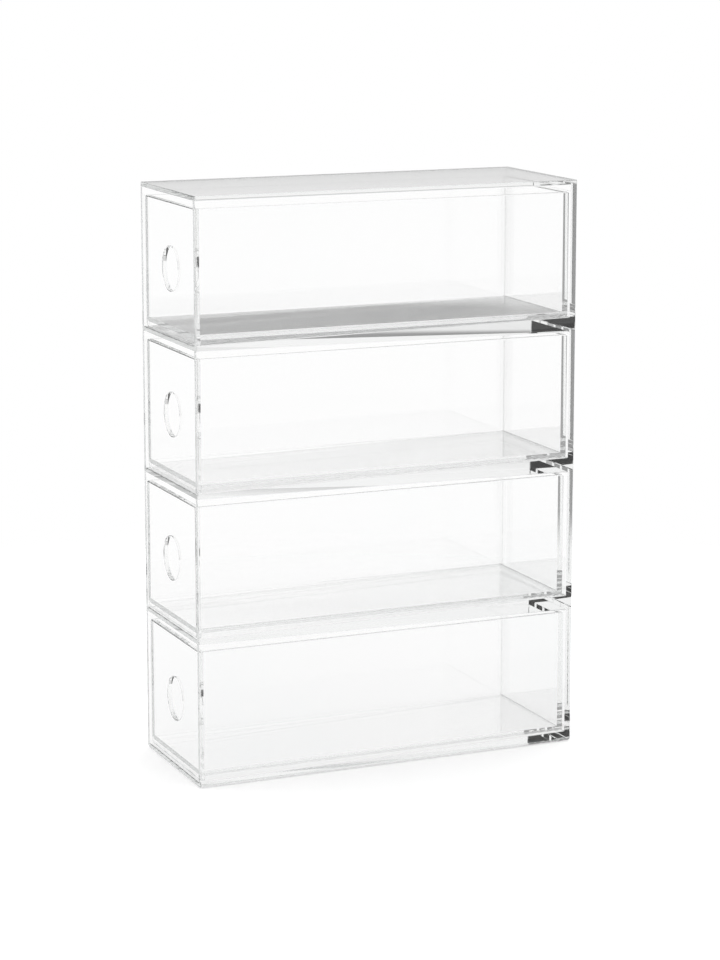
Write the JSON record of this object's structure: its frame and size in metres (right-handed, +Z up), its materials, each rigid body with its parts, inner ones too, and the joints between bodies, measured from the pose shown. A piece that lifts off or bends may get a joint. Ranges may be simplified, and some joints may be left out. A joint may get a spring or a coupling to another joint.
{
  "type": "acrylic drawer tower",
  "caption": "Tall narrow clear acrylic case with stacked pull-out drawers, each opened by a round finger hole, for make-up, glasses and small goods.",
  "frame": {"origin": "middle of the footprint, on the surface that the case stands on", "axes": "+Z up, -Y out of the front where the drawers open, +X out of the long side that the picture shows"},
  "size_m": [0.067, 0.175, 0.25],
  "materials": {
    "case_acrylic": "clear polished acrylic",
    "drawer_acrylic": "clear polished acrylic"
  },
  "bodies": {
    "case": {"base_panel": "case_acrylic", "top_panel": "case_acrylic", "left_side_panel": "case_acrylic", "right_side_panel": "case_acrylic", "back_panel": "case_acrylic", "shelf_1": "case_acrylic", "shelf_2": "case_acrylic", "shelf_3": "case_acrylic"},
    "drawer_1": {"drawer_1_front": "drawer_acrylic", "drawer_1_floor": "drawer_acrylic", "drawer_1_left_wall": "drawer_acrylic", "drawer_1_right_wall": "drawer_acrylic", "drawer_1_back_wall": "drawer_acrylic"},
    "drawer_2": {"drawer_2_front": "drawer_acrylic", "drawer_2_floor": "drawer_acrylic", "drawer_2_left_wall": "drawer_acrylic", "drawer_2_right_wall": "drawer_acrylic", "drawer_2_back_wall": "drawer_acrylic"},
    "drawer_3": {"drawer_3_front": "drawer_acrylic", "drawer_3_floor": "drawer_acrylic", "drawer_3_left_wall": "drawer_acrylic", "drawer_3_right_wall": "drawer_acrylic", "drawer_3_back_wall": "drawer_acrylic"},
    "drawer_4": {"drawer_4_front": "drawer_acrylic", "drawer_4_floor": "drawer_acrylic", "drawer_4_left_wall": "drawer_acrylic", "drawer_4_right_wall": "drawer_acrylic", "drawer_4_back_wall": "drawer_acrylic"}
  },
  "joints": [
    {"name": "drawer_1_slide", "type": "slide", "parent": "case", "child": "drawer_1", "axis": [0, -1, 0], "range_m": [-0.0007, 0.15]},
    {"name": "drawer_2_slide", "type": "slide", "parent": "case", "child": "drawer_2", "axis": [0, -1, 0], "range_m": [-0.0007, 0.15]},
    {"name": "drawer_3_slide", "type": "slide", "parent": "case", "child": "drawer_3", "axis": [0, -1, 0], "range_m": [-0.0016, 0.15]},
    {"name": "drawer_4_slide", "type": "slide", "parent": "case", "child": "drawer_4", "axis": [0, -1, 0], "range_m": [-0.0007, 0.15]}
  ]
}
